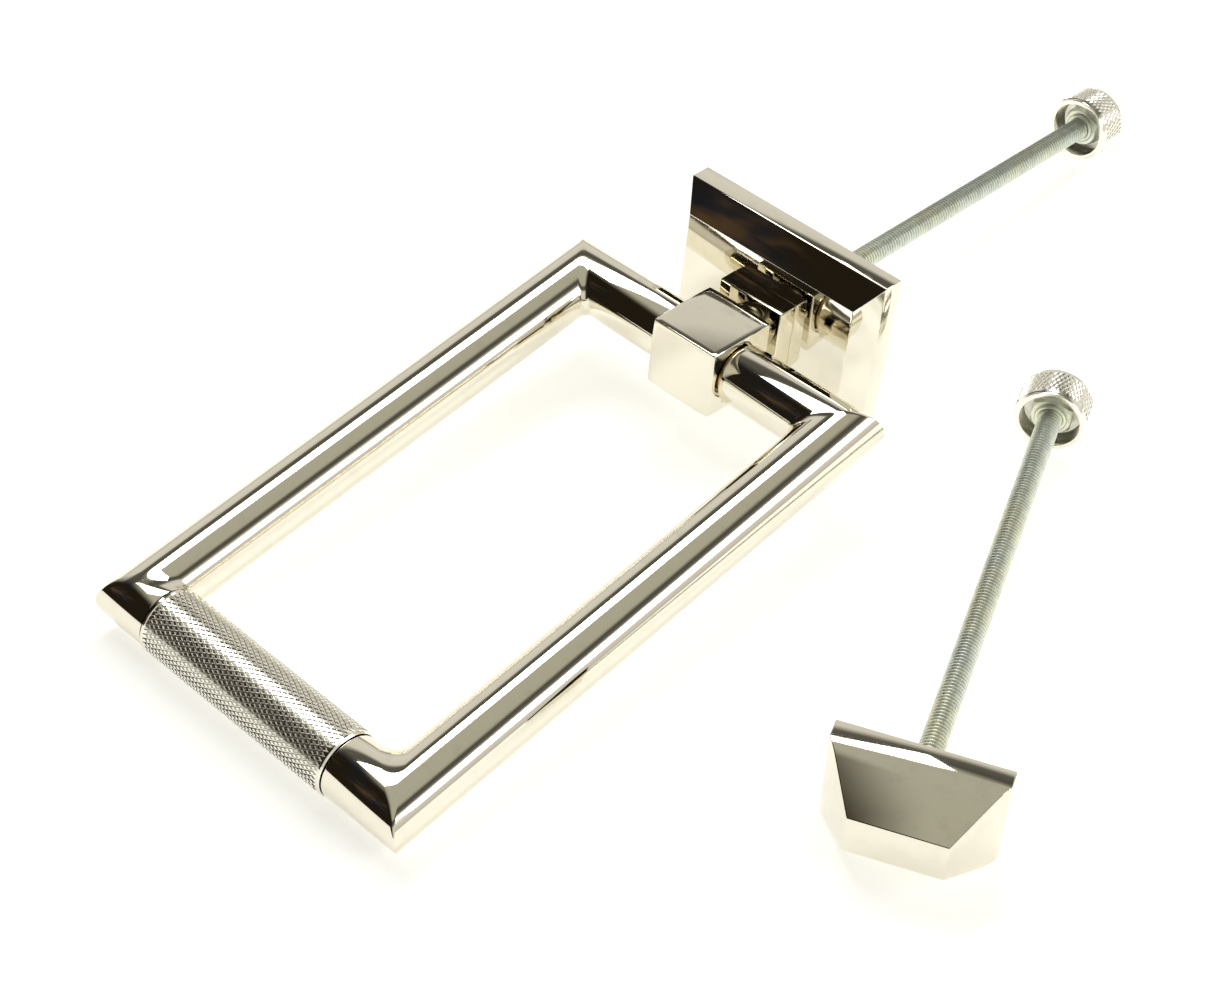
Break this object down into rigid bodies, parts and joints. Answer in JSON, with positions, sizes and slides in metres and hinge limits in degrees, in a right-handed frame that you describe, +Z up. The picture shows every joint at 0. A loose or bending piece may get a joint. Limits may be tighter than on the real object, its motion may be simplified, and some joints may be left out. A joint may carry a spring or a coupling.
{
  "type": "door knocker",
  "caption": "Rectangular round-bar ring door knocker with knurled grip, bevelled rose, bolt-through rod and thumb nut, and a separate bevelled strike.",
  "frame": {"origin": "on the table plane, under the middle of the whole set's bounding box", "axes": "+X along the ring's pivot, towards the strike; +Y towards the door side, the way the rods point; +Z up from the table"},
  "size_m": [0.1878, 0.3188, 0.0447],
  "materials": {
    "polished_nickel": "polished nickel plate on brass",
    "turned_nickel": "knurled and turned, nickel plated",
    "zinc_steel": "zinc plated steel",
    "bronze": "plain bearing bronze",
    "nylon": "moulded nylon"
  },
  "bodies": {
    "knocker_base": {"rose": "polished_nickel", "neck_plate": "polished_nickel", "neck_spacer": "turned_nickel", "locating_pins": "zinc_steel", "hub_block": "polished_nickel", "pivot_bush_left": "bronze", "pivot_bush_right": "bronze", "mounting_rod": "zinc_steel"},
    "ring": {"pivot_axle": "zinc_steel", "top_bar_left": "polished_nickel", "top_bar_right": "polished_nickel", "side_bar_left": "polished_nickel", "side_bar_right": "polished_nickel", "grip_bar_left": "polished_nickel", "grip_bar_right": "polished_nickel", "grip_core": "zinc_steel"},
    "grip": {"grip_sleeve": "turned_nickel"},
    "thumb_nut_thread": {"thumb_nut_insert": "nylon"},
    "thumb_nut": {"thumb_nut_hex": "zinc_steel", "thumb_nut_cap": "turned_nickel"},
    "strike": {"strike_block": "polished_nickel", "strike_rod": "zinc_steel"},
    "strike_nut_thread": {"strike_nut_insert": "nylon"},
    "strike_nut": {"strike_nut_hex": "zinc_steel", "strike_nut_cap": "turned_nickel"}
  },
  "joints": [
    {"name": "ring_swing", "type": "hinge", "parent": "knocker_base", "child": "ring", "pos_m": [-0.04411, -0.00757, 0.02197], "axis": [1, 0, 0], "range_deg": [-109, 81]},
    {"name": "grip_turn", "type": "hinge", "parent": "ring", "child": "grip", "pos_m": [-0.04411, -0.15094, 0.0085], "axis": [1, 0, 0], "continuous": true},
    {"name": "thumb_nut_travel", "type": "slide", "parent": "knocker_base", "child": "thumb_nut_thread", "axis": [0, 0.9971, -0.0767], "range_m": [-0.0008, 0.012]},
    {"name": "thumb_nut_turn", "type": "hinge", "parent": "thumb_nut_thread", "child": "thumb_nut", "pos_m": [-0.04411, 0.14877, 0.00994], "axis": [0, 0.9971, -0.0767], "continuous": true},
    {"name": "strike_lift", "type": "slide", "parent": "knocker_base", "child": "strike", "axis": [0, 0, 1], "range_m": [0, 0.1]},
    {"name": "strike_nut_travel", "type": "slide", "parent": "strike", "child": "strike_nut_thread", "axis": [-0.4019, 0.9155, -0.02], "range_m": [-0.0008, 0.012]},
    {"name": "strike_nut_turn", "type": "hinge", "parent": "strike_nut_thread", "child": "strike_nut", "pos_m": [0.02348, 0.04505, 0.0094], "axis": [-0.4019, 0.9155, -0.02], "continuous": true}
  ],
  "couplings": [
    {"joint": "thumb_nut_turn", "follows": "thumb_nut_travel", "rad_per_m": 6283.2},
    {"joint": "strike_nut_turn", "follows": "strike_nut_travel", "rad_per_m": 6283.2}
  ]
}
